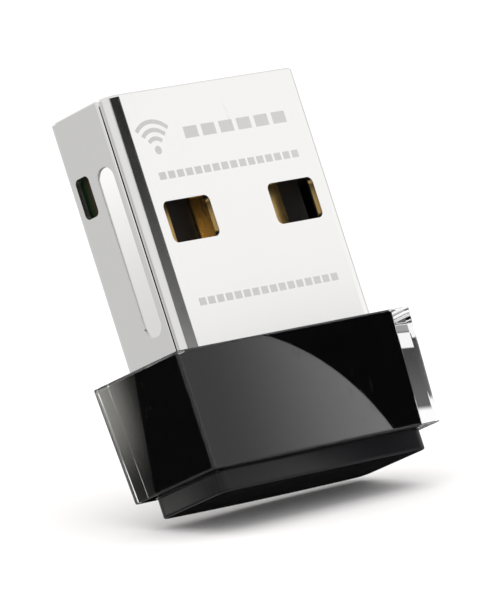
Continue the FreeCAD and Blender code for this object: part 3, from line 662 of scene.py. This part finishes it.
class ADAPTER_OT_plug_shell(bpy.types.Operator):
    """Folded steel plug: a merged copy of the CAD shell with eased edges"""

    bl_idname = "adapter.plug_shell"
    bl_label = "Plug shell"

    def execute(self, context):
        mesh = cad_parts["plug_shell"].data.copy()
        mesh.name = "steel_plug"
        work = bmesh.new()
        work.from_mesh(mesh)
        bmesh.ops.remove_doubles(work, verts=work.verts, dist=0.001 * MM)
        shared = [edge for edge in work.edges if len(edge.link_faces) == 2]
        cut = [edge for edge in shared if edge.calc_face_angle() > math.radians(50)]
        bmesh.ops.bevel(work, geom=cut, offset=context.scene.adapter_cover.sheet_edge, segments=1,
                        profile=0.5, affect="EDGES", clamp_overlap=True)
        parts = work.verts[:] + work.edges[:] + work.faces[:]
        below_mouth = SHELL_HIGH[2] - context.scene.adapter_cover.mouth_band
        bmesh.ops.bisect_plane(work, geom=parts, plane_co=(0, 0, below_mouth), plane_no=(0, 0, 1))
        work.to_mesh(mesh)
        work.free()
        mesh.materials.clear()
        mesh.materials.append(satin_steel(context.scene.adapter_finish))
        mesh.shade_smooth()
        mesh.set_sharp_from_angle(angle=math.radians(30))
        normals = np.empty(len(mesh.polygons) * 3, np.float32)
        mesh.polygons.foreach_get("normal", normals)
        squareness = np.abs(normals.reshape(-1, 3)).max(axis=1)
        mesh.polygons.foreach_set("use_smooth", squareness < math.cos(math.radians(0.5)))
        mesh.update()
        piece = bpy.data.objects.new("steel_plug", mesh)
        context.scene.collection.objects.link(piece)
        adopt(piece, "shell_steel", "plug_shell")
        return {"FINISHED"}


class ADAPTER_OT_cover_core(bpy.types.Operator):
    """Black core of the cover, with the opening that holds the plug"""

    bl_idname = "adapter.cover_core"
    bl_label = "Cover core"

    def execute(self, context):
        sizes = context.scene.adapter_cover
        rim_x, rim_y, top = CORE_HIGH
        bottom = CORE_LOW[2]
        bore_x, bore_y = SHELL_HIGH[0] + sizes.bore_gap, SHELL_HIGH[1] + sizes.bore_gap
        profile = rounded_profile([
            (rim_x - sizes.end_inset_x, rim_y - sizes.end_inset_y, sizes.core_corner, bottom),
            (rim_x, rim_y, sizes.core_corner, top),
            (bore_x, bore_y, sizes.bore_corner, top),
            (bore_x, bore_y, sizes.bore_corner, bottom),
        ], sizes.bevel, closed=True)
        points, faces = carried_outline(profile, closed=True)
        finish = black_core(context.scene.adapter_finish)
        new_piece("black_core", points, faces, finish, "core_black", "cover_core")
        return {"FINISHED"}


class ADAPTER_OT_clear_jacket(bpy.types.Operator):
    """Clear jacket: moulded onto the core's front and left, and a hair's breadth off its back and right"""

    bl_idname = "adapter.clear_jacket"
    bl_label = "Clear jacket"

    def execute(self, context):
        sizes = context.scene.adapter_cover
        rim_x, rim_y, top = JACKET_HIGH
        bottom = JACKET_LOW[2]
        inner_x, inner_y = CORE_HIGH[:2]
        profile = rounded_profile([
            (rim_x - sizes.end_inset_x, rim_y - sizes.end_inset_y, sizes.jacket_corner, bottom),
            (rim_x, rim_y, sizes.jacket_corner, top),
            (inner_x, inner_y, sizes.core_corner, top),
            (inner_x - sizes.end_inset_x, inner_y - sizes.end_inset_y, sizes.core_corner, bottom),
        ], sizes.bevel, closed=True)
        points, faces = carried_outline(profile, closed=True)
        inner_rows = profile[:, 2] > (sizes.core_corner + sizes.jacket_corner) / 2
        points[inner_rows, :, :2] += sizes.jacket_gap
        finish = clear_plastic(context.scene.adapter_finish)
        new_piece("clear_jacket_sleeve", points, faces, finish, "jacket_clear", "clear_jacket")
        return {"FINISHED"}


class ADAPTER_OT_end_cap(bpy.types.Operator):
    """End cap with a bowed back edge and a ring that sits in the core"""

    bl_idname = "adapter.end_cap"
    bl_label = "End cap"

    def execute(self, context):
        sizes = context.scene.adapter_cover
        half_x, half_y = CAP_HIGH[0], -CAP_LOW[1]
        ring_x, ring_y = SHELL_HIGH[:2]
        hole_x, hole_y = ring_x - sizes.ring_wall, ring_y - sizes.ring_wall
        base, lip, top = CAP_LOW[2], CAP_LOW[2] + sizes.cap_height, CAP_HIGH[2]
        flat_inset = 3 * MM
        bow_fade = 0.5 * MM
        profile = rounded_profile([
            (half_x - flat_inset, half_y - flat_inset / 2, sizes.cap_corner, base),
            (half_x, half_y, sizes.cap_corner, base),
            (half_x, half_y, sizes.cap_corner, lip),
            (ring_x, ring_y, sizes.bore_corner, lip),
            (ring_x, ring_y, sizes.bore_corner, top),
            (hole_x, hole_y, sizes.cap_corner, top),
            (hole_x, hole_y, sizes.cap_corner, lip),
        ], sizes.cap_edge, closed=False)
        points, faces = carried_outline(profile, closed=False)
        plate = points[..., 2] < lip + 0.01 * MM
        outside = np.clip((np.abs(points[..., 1]) - ring_y + bow_fade) / bow_fade, 0, 1)
        bow = sizes.cap_bulge * (1 - (points[..., 0] / half_x) ** 2)
        points[..., 1] += np.where(plate & (points[..., 1] > 0), bow * outside, 0)
        finish = gloss_black(context.scene.adapter_finish)
        new_piece("gloss_end_cap", points, faces, finish, "cap_black", "end_cap")
        return {"FINISHED"}


class ADAPTER_OT_contacts(bpy.types.Operator):
    """Contact carrier, the four gold contacts and the solder"""

    bl_idname = "adapter.contacts"
    bl_label = "Contacts"

    def execute(self, context):
        look = context.scene.adapter_finish
        gold = gold_plate(look)
        for node in ("power_contact", "data_minus_contact", "data_plus_contact", "ground_contact"):
            dress(node, gold)
        dress("contact_carrier", moulded_black())
        solder = plain_metal("tin_solder", (0.50, 0.50, 0.49), (0.70, 0.70, 0.68), 0.24, 0.3)
        dress("contact_solder_joints", solder)
        dress("shell_solder_joints", solder)
        return {"FINISHED"}


class ADAPTER_OT_board(bpy.types.Operator):
    """Circuit board, its tape and its printed antenna"""

    bl_idname = "adapter.board"
    bl_label = "Board"

    def execute(self, context):
        look = context.scene.adapter_finish
        dress("circuit_board", green_board(look))
        dress("insulation_tape", amber_tape(look))
        dress("antenna_trace", covered_copper())
        return {"FINISHED"}


class ADAPTER_OT_components(bpy.types.Operator):
    """Chip, crystal, regulator and the small parts on the board"""

    bl_idname = "adapter.components"
    bl_label = "Components"

    def execute(self, context):
        epoxy = chip_epoxy()
        for node in ("wifi_chip", "voltage_regulator", "esd_protector"):
            dress(node, epoxy)
        tin = plain_metal("tinned_terminal", (0.58, 0.57, 0.55), (0.76, 0.75, 0.72), 0.28, 0.1)
        dress("chip_terminals", tin)
        dress("regulator_legs", tin)
        dress("crystal_lid", plain_metal("pressed_lid", (0.60, 0.59, 0.56), (0.74, 0.73, 0.70), 0.3, 0.5))
        ceramic = fired_body("pale_ceramic", (0.30, 0.24, 0.17), (0.46, 0.39, 0.30), 0.5, 0.06)
        dress("crystal_base", ceramic)
        ferrite = fired_body("ferrite_body", (0.030, 0.031, 0.033), (0.06, 0.062, 0.065), 0.55, 0.05)
        dress("power_inductor", ferrite)
        dress("status_led", fired_body("lamp_body", (0.55, 0.58, 0.52), (0.78, 0.80, 0.74), 0.2, 0.12))
        tan, black = ((0.28, 0.19, 0.11), (0.42, 0.30, 0.19)), ((0.012, 0.012, 0.013), (0.03, 0.03, 0.032))
        for node in ("decoupling_capacitors", "crystal_capacitors"):
            dress(node, capped_body(f"tan_{node}", node, *tan, 0.42))
        dress("series_resistors", capped_body("black_resistors", "series_resistors", *black, 0.4))
        return {"FINISHED"}


# ---------------------------------------------------------------- stage

def camera_axes(stage):
    """Camera's place and its turning matrix, from the angles of its line of sight."""
    a, e = stage.azimuth, stage.elevation
    back = Vector((math.sin(a) * math.cos(e), -math.cos(a) * math.cos(e), math.sin(e)))
    turned = (-back).to_track_quat("-Z", "Y").to_matrix().to_4x4() @ Matrix.Rotation(stage.roll, 4, "Z")
    return Vector(stage.target) + back * stage.distance, turned


def place_camera(stage):
    """The camera at its viewing angle."""
    place, turned = camera_axes(stage)
    data = bpy.data.cameras.new("studio_camera")
    data.lens, data.sensor_width = stage.lens, 36.0
    data.clip_start, data.clip_end = 10 * MM, 20.0
    camera = bpy.data.objects.new("studio_camera", data)
    camera.matrix_world = Matrix.Translation(place) @ turned
    bpy.context.scene.collection.objects.link(camera)
    bpy.context.scene.camera = camera


def hide_from_direct_sight(stand_in):
    """Hides a reflecting card or flag from all rays but reflected and refracted ones."""
    stand_in.visible_camera = False
    stand_in.visible_diffuse = False
    stand_in.visible_shadow = False


def stage_mesh(name, points, uv, material):
    """A grid of points as a piece of the stage, with its own UV map."""
    rows, columns = points.shape[:2]
    index = np.arange(rows * columns).reshape(rows, columns)
    quads = np.stack([index[:-1, :-1], index[:-1, 1:], index[1:, 1:], index[1:, :-1]], axis=2).reshape(-1, 4)
    mesh = bpy.data.meshes.new(name)
    mesh.from_pydata(points.reshape(-1, 3).tolist(), [], quads.tolist())
    layer = mesh.uv_layers.new(name="face_millimetres")
    layer.data.foreach_set("uv", uv.reshape(-1, 2)[quads.ravel()].astype(np.float32).ravel())
    mesh.materials.append(material)
    piece = bpy.data.objects.new(name, mesh)
    bpy.context.scene.collection.objects.link(piece)
    return piece


def sighted_card(name, stage, face_point, normal, across, across_span, up_span, material):
    """A card whose reflection the camera sees in a flat face.

    A point P of the face, at (s, t) millimetres along it, is carried away from the camera's
    mirror image C by the card's distance: P + distance (P - C) / |P - C|. Its UV is (s, t).
    """
    camera = np.array(camera_axes(stage)[0])
    normal = normal / np.linalg.norm(normal)
    up = np.cross(normal, across)
    up *= np.sign(up[2])
    image = camera - 2 * np.dot(camera - face_point, normal) * normal
    s, t = np.meshgrid(np.linspace(*across_span, 24), np.linspace(*up_span, 24))
    spot = face_point + MM * (s[..., None] * across + t[..., None] * up)
    sight = spot - image
    points = spot + CARD_DISTANCE * sight / np.linalg.norm(sight, axis=2, keepdims=True)
    hide_from_direct_sight(stage_mesh(name, points, np.stack([s, t], axis=2), material))


def glow(name, strength_of, tint=(1.0, 1.0, 1.0)):
    """An emission material whose strength is worked out from the card's UV."""
    recipe = Finish(name)
    uv = recipe.add("UVMap", {"uv_map": "face_millimetres"}).outputs["UV"]
    s, t, _ = recipe.axes(uv)
    light = recipe.add("Emission", Color=(*tint, 1.0), Strength=strength_of(s, t))
    recipe.add("OutputMaterial", Surface=light.outputs[0])
    return recipe.material


def front_glow(s, t):
    """The softbox seen in the cover's wide face: lit inside an arc, brighter to the right."""
    away = ((s - ARC_MIDDLE[0]) ** 2 + (t - ARC_MIDDLE[1]) ** 2) ** 0.5
    inside = 1 - away.rise(ARC_RADIUS - 0.05, ARC_RADIUS + 0.05)
    rim = JACKET_HIGH[2] / MM
    below_rim = 1 - t.rise(rim + 0.05, rim + 0.15)
    return inside * below_rim * (0.95 + 2.6 * s.rise(-6.5, 5.5)) + 0.01


def side_glow(s, t):
    """The softbox seen in the cover's narrow face: a band at the back, slanted and fading downward."""
    rim = JACKET_HIGH[2] / MM
    edge = 0.07 + (rim - 0.08 - t) * 0.24
    fade = 0.1 + 0.9 * t.rise(1.6, 5.8)
    return (s - edge).rise(-0.03, 0.03) * (0.3 + 4.6 * s.rise(0.2, 3.0)) * fade + 0.02


def wall_glow(s, t):
    """The light that comes through the jacket's right wall: white low down and in a band near the top."""
    low = 1 - t.rise(3.9, 4.2)
    band = t.between(7.05, 7.8, 0.04)
    top = t.rise(7.8, 7.9)
    shade = 0.07 + 0.07 * (1 - t.rise(4.1, 7.1))
    return 0.95 * low.most(band) + 0.3 * top + shade


def wall_card():
    """Card close behind the cover, seen only through the jacket's clear walls.

    A flat upright grid: the point at (s, t) millimetres is (s, behind the jacket, t).
    """
    s, t = np.meshgrid(np.linspace(*WALL_CARD_ACROSS, 12), np.linspace(*WALL_CARD_UP, 12))
    points = np.stack([s * MM, np.full_like(s, JACKET_HIGH[1] + WALL_CARD_BEHIND), t * MM], axis=2)
    card = stage_mesh("wall_card", points, np.stack([s, t], axis=2), glow("wall_glow", wall_glow))
    hide_from_direct_sight(card)
    card.visible_glossy = False


def corner_flag():
    """Dark flag whose reflection runs down the plug's rounded corner.

    An arc of a cylinder about the upright line through the plug's corner: the point at angle
    a and height h is the corner plus the radius times (-cos a, -sin a). Its UV is (a, h).
    """
    angle, height = np.meshgrid(np.radians(np.linspace(*FLAG_TURN, 33)), np.linspace(*FLAG_HEIGHTS, 12) * MM)
    x = SHELL_LOW[0] - FLAG_RADIUS * np.cos(angle)
    y = SHELL_LOW[1] - FLAG_RADIUS * np.sin(angle)
    uv = np.stack([np.degrees(angle), height / MM], axis=2)
    shade = glow("corner_flag", lambda s, t: 0.005 + 0.15 * (1 - t.rise(20.0, 35.0)))
    hide_from_direct_sight(stage_mesh("corner_flag", np.stack([x, y, height], axis=2), uv, shade))


def studio_world():
    """White for the camera, and for reflections a studio of soft panels all round.

    The panels are set by the angle from the adapter's left (-X) round to its front (-Y).
    """
    world = bpy.data.worlds.new("studio")
    bpy.context.scene.world = world
    world.use_nodes = True
    recipe = Recipe(world.node_tree)
    x, y, z = recipe.axes(recipe.add("TexCoord").outputs["Generated"])
    angle = x.math("ARCTAN2", 0 - y, 0 - x) * (180 / math.pi)
    left = angle.between(*LEFT_PANEL) * (0.76 + 0.5 * z.rise(0.2, 0.4))
    strip = angle.between(*STRIP_PANEL)
    front = angle.rise(FRONT_PANEL_FROM, FRONT_PANEL_FULL) * 1.25
    behind = (1 - angle.rise(BACK_PANEL_FULL, BACK_PANEL_TO)) * 0.8
    panels = left + strip + front + behind
    roof = z.rise(0.45, 0.75)
    studio = panels * (1 - roof) + roof
    below = z.rise(-0.24, -0.16) * (1 - z.rise(-0.06, 0.0))
    dark = below * angle.between(*DARK_SECTOR)
    studio = studio * (0.62 + 0.38 * z.rise(-0.05, 0.02)) * (1 - dark) + 0.004
    sight = recipe.wire(recipe.add("LightPath").outputs["Is Camera Ray"])
    light = recipe.add("Background", Color=(1.0, 1.0, 1.0, 1.0), Strength=sight + (1 - sight) * studio)
    recipe.add("OutputWorld", Surface=light.outputs[0])


def place_floor(stage):
    """Pale floor under the adapter's lowest edge, and the soft light above it.

    A disc as rings of points: radius grows evenly from the middle out, the angle runs round,
    and both directions along the floor are square to its normal.
    """
    up = Vector(stage.floor_up).normalized()
    side = up.cross(Vector((0, 1, 0))).normalized()
    ahead = up.cross(side)
    xs, ys = (CAP_LOW[0], 0.0, CAP_HIGH[0]), (CAP_LOW[1], CAP_HIGH[1])
    lowest = min(Vector((x, y, CAP_LOW[2])).dot(up) for x in xs for y in ys) - 0.02 * MM
    radius, angle = np.meshgrid(np.linspace(0, stage.floor_size, 24), np.linspace(0, 2 * math.pi, 65))
    spot = np.array(up * lowest) + radius[..., None] * (
        np.cos(angle)[..., None] * np.array(side) + np.sin(angle)[..., None] * np.array(ahead))
    finish = Finish("pale_floor")
    sweep = finish.noise(60.0, 2.0)
    material = finish.surface(
        Base_Color=finish.blend(sweep, (0.93, 0.915, 0.91), (0.94, 0.925, 0.92)),
        Roughness=0.5, Specular_IOR_Level=0.0,
    )
    floor = stage_mesh("pale_floor", spot, np.stack([radius, angle], axis=2), material)
    floor.visible_glossy = floor.visible_transmission = False

    data = bpy.data.lights.new("overhead", "SUN")
    data.angle, data.energy = stage.overhead_spread, stage.overhead_power
    lamp = bpy.data.objects.new("overhead", data)
    lamp.rotation_mode = "QUATERNION"
    lamp.rotation_quaternion = up.to_track_quat("Z", "Y")
    lamp.visible_glossy = lamp.visible_transmission = lamp.visible_camera = False
    bpy.context.scene.collection.objects.link(lamp)


class ADAPTER_OT_stage(bpy.types.Operator):
    """Floor, studio light and camera"""

    bl_idname = "adapter.stage"
    bl_label = "Stage"

    def execute(self, context):
        stage = context.scene.adapter_stage
        place_camera(stage)
        place_floor(stage)
        studio_world()
        sizes = context.scene.adapter_cover
        rim, height = JACKET_HIGH[2], JACKET_HIGH[2] - JACKET_LOW[2]
        sighted_card(
            "front_card", stage, np.array((0.0, JACKET_LOW[1], rim)),
            np.array((0.0, -1.0, -sizes.end_inset_y / height)), np.array((1.0, 0.0, 0.0)),
            FRONT_CARD_ACROSS, FRONT_CARD_UP,
            glow("front_glow", lambda s, t: front_glow(s, t + rim / MM)),
        )
        sighted_card(
            "side_card", stage, np.array((JACKET_LOW[0], 0.0, rim)),
            np.array((-1.0, 0.0, -sizes.end_inset_x / height)), np.array((0.0, 1.0, 0.0)),
            SIDE_CARD_ACROSS, SIDE_CARD_UP,
            glow("side_glow", lambda s, t: side_glow(s, t + rim / MM), (1.0, 0.99, 0.93)),
        )
        wall_card()
        corner_flag()
        context.scene.view_settings.view_transform = "Standard"
        return {"FINISHED"}


OPERATORS = (
    ADAPTER_OT_plug_shell, ADAPTER_OT_cover_core, ADAPTER_OT_clear_jacket, ADAPTER_OT_end_cap,
    ADAPTER_OT_contacts, ADAPTER_OT_board, ADAPTER_OT_components, ADAPTER_OT_stage,
)


class ADAPTER_PT_panel(bpy.types.Panel):
    """Lists the adapter's settings and the steps that build it"""

    bl_idname = "ADAPTER_PT_panel"
    bl_label = "Wi-Fi adapter"
    bl_space_type = "VIEW_3D"
    bl_region_type = "UI"
    bl_category = "Adapter"

    def draw(self, context):
        for name, group in SETTINGS.items():
            box = self.layout.box()
            for key in group.__annotations__:
                box.prop(getattr(context.scene, name), key)
        for operator in OPERATORS:
            self.layout.operator(operator.bl_idname)


def register():
    for group in SETTINGS.values():
        bpy.utils.register_class(group)
    for name, group in SETTINGS.items():
        setattr(bpy.types.Scene, name, bpy.props.PointerProperty(type=group))
    for entry in OPERATORS + (ADAPTER_PT_panel,):
        bpy.utils.register_class(entry)


def unregister():
    for entry in reversed(OPERATORS + (ADAPTER_PT_panel,)):
        bpy.utils.unregister_class(entry)
    for name, group in SETTINGS.items():
        delattr(bpy.types.Scene, name)
        bpy.utils.unregister_class(group)


def main():
    """Registers the add-on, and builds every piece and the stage."""
    register()
    bpy.ops.adapter.plug_shell()
    bpy.ops.adapter.cover_core()
    bpy.ops.adapter.clear_jacket()
    bpy.ops.adapter.end_cap()
    bpy.ops.adapter.contacts()
    bpy.ops.adapter.board()
    bpy.ops.adapter.components()
    bpy.ops.adapter.stage()


if __name__ == "__main__":
    main()
